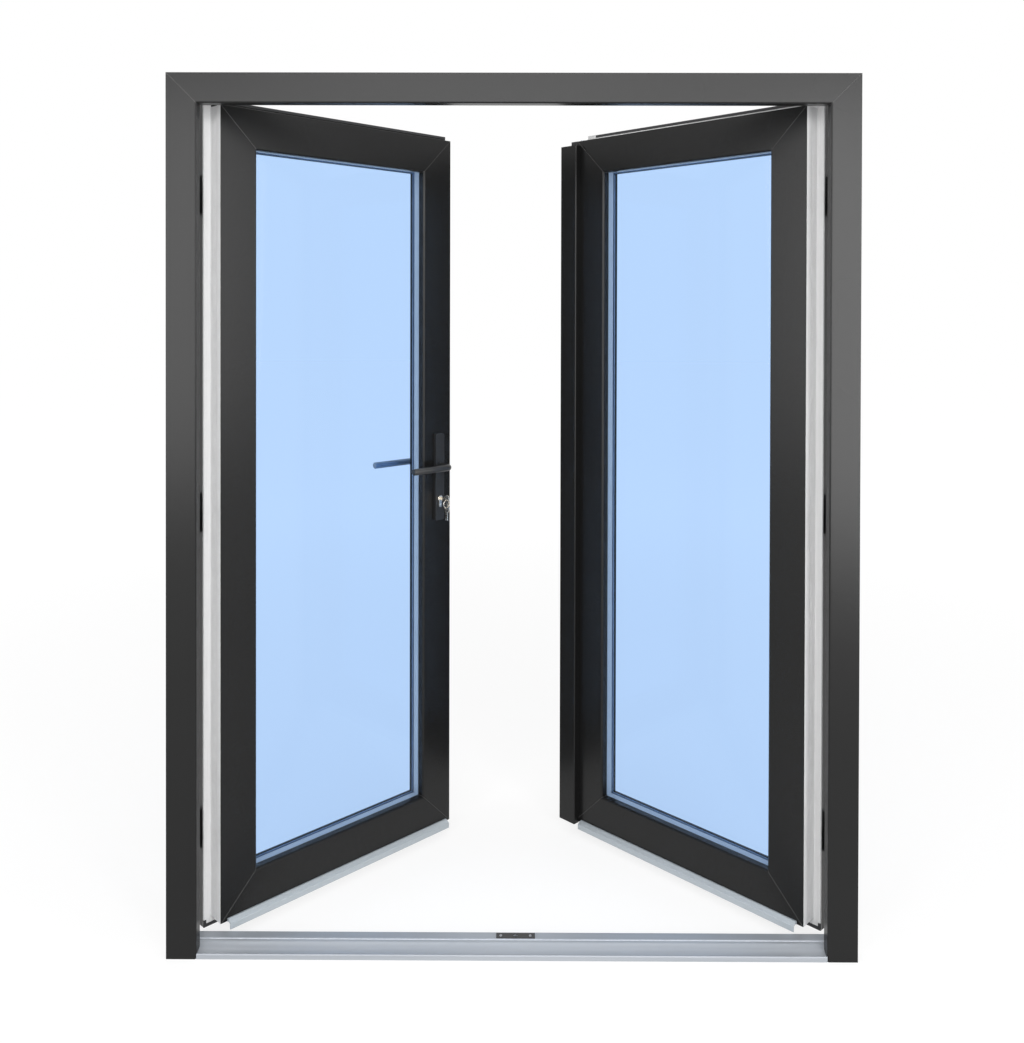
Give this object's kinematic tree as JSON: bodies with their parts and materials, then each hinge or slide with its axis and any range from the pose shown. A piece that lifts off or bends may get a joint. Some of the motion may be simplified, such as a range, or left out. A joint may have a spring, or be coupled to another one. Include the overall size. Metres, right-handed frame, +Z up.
{
  "type": "french doors",
  "caption": "Inward-opening glazed double doors in a frame: hollow plastic leaves on side hinges, lever lock, astragal with shoot bolts, low metal threshold.",
  "frame": {"origin": "middle of the threshold's underside", "axes": "+X to the right seen from outside, +Y into the room, +Z up"},
  "size_m": [1.6, 0.6513, 2.05],
  "materials": {
    "foiled_plastic": "anthracite foil on both faces, white plastic in the rebates",
    "rubber": "matte",
    "aluminium": "anodised",
    "steel": "zinc plated",
    "nickel": "nickel plated",
    "dark_metal": "powder coated",
    "glass": "clear, pale blue"
  },
  "bodies": {
    "frame": {"left_jamb": "foiled_plastic", "right_jamb": "foiled_plastic", "head": "foiled_plastic", "frame_steel": "steel", "frame_gasket": "rubber", "threshold": "aluminium", "threshold_seal": "rubber", "threshold_ends": "aluminium", "threshold_keep": "dark_metal", "head_keep": "steel", "left_hinge_brackets": "dark_metal", "right_hinge_brackets": "dark_metal", "left_hinge_pins": "steel", "right_hinge_pins": "steel"},
    "left_leaf": {"left_hinge_stile": "foiled_plastic", "left_top_rail": "foiled_plastic", "left_bottom_rail": "foiled_plastic", "left_steel": "steel", "left_panes": "glass", "left_spacer": "aluminium", "left_beads": "foiled_plastic", "left_glazing_gasket": "rubber", "left_overlap_gasket": "rubber", "left_drip_rail": "aluminium", "left_hinge_leaves": "dark_metal", "left_lock_stile": "foiled_plastic", "lock_case": "steel", "faceplate": "steel", "outer_backplate": "dark_metal", "inner_backplate": "aluminium", "cylinder_body": "nickel"},
    "right_leaf": {"right_hinge_stile": "foiled_plastic", "right_top_rail": "foiled_plastic", "right_bottom_rail": "foiled_plastic", "right_steel": "steel", "right_panes": "glass", "right_spacer": "aluminium", "right_beads": "foiled_plastic", "right_glazing_gasket": "rubber", "right_overlap_gasket": "rubber", "right_drip_rail": "aluminium", "right_hinge_leaves": "dark_metal", "right_meeting_stile": "foiled_plastic", "astragal": "foiled_plastic", "astragal_caps_and_seal": "rubber", "lock_keep": "steel", "flip_base": "steel"},
    "lever_set": {"outer_lever": "dark_metal", "inner_lever": "aluminium", "spindle": "steel", "follower": "steel"},
    "latch": {"latch_bolt": "steel"},
    "dead_bolt": {"deadbolt": "steel"},
    "key": {"cylinder_plug": "nickel", "door_key": "nickel"},
    "hanging_key": {"key_ring": "nickel", "spare_key": "nickel"},
    "flip": {"flip_lever": "steel"},
    "top_bolt": {"top_shoot_bolt": "steel"},
    "bottom_bolt": {"bottom_shoot_bolt": "steel"}
  },
  "joints": [
    {"name": "left_leaf_swing", "type": "hinge", "parent": "frame", "child": "left_leaf", "pos_m": [-0.772, 0.072, 1], "axis": [0, 0, 1], "range_deg": [-45, 60]},
    {"name": "right_leaf_swing", "type": "hinge", "parent": "frame", "child": "right_leaf", "pos_m": [0.772, 0.072, 1], "axis": [0, 0, -1], "range_deg": [-45, 60]},
    {"name": "lever_turn", "type": "hinge", "parent": "left_leaf", "child": "lever_set", "pos_m": [-0.21445, 0.51783, 1.064], "axis": [0.7071, -0.7071, 0], "range_deg": [0, 40], "stiffness_Nm_per_rad": 2},
    {"name": "latch_slide", "type": "slide", "parent": "left_leaf", "child": "latch", "axis": [-0.7071, -0.7071, 0], "range_m": [0, 0.0121]},
    {"name": "key_turn", "type": "hinge", "parent": "left_leaf", "child": "key", "pos_m": [-0.21445, 0.51783, 0.972], "axis": [0.7071, -0.7071, 0], "range_deg": [0, 360]},
    {"name": "deadbolt_slide", "type": "slide", "parent": "left_leaf", "child": "dead_bolt", "axis": [0.7071, 0.7071, 0], "range_m": [0, 0.0201]},
    {"name": "spare_key_swing", "type": "hinge", "parent": "key", "child": "hanging_key", "pos_m": [-0.18758, 0.49096, 0.9703], "axis": [0.7071, 0.7071, 0], "range_deg": [-25, 25]},
    {"name": "flip_lever_turn", "type": "hinge", "parent": "right_leaf", "child": "flip", "pos_m": [0.1851, 0.59102, 1.364], "axis": [-0.7071, -0.7071, 0], "range_deg": [0, 180.5]},
    {"name": "top_bolt_slide", "type": "slide", "parent": "right_leaf", "child": "top_bolt", "axis": [0, 0, 1], "range_m": [0, 0.02]},
    {"name": "bottom_bolt_slide", "type": "slide", "parent": "right_leaf", "child": "bottom_bolt", "axis": [0, 0, -1], "range_m": [0, 0.0201]}
  ],
  "couplings": [
    {"joint": "latch_slide", "follows": "lever_turn", "m_per_rad": 0.017189},
    {"joint": "deadbolt_slide", "follows": "key_turn", "m_per_rad": 0.0031831},
    {"joint": "flip_lever_turn", "follows": "top_bolt_slide", "rad_per_m": 157.08},
    {"joint": "bottom_bolt_slide", "follows": "top_bolt_slide", "ratio": 1}
  ]
}
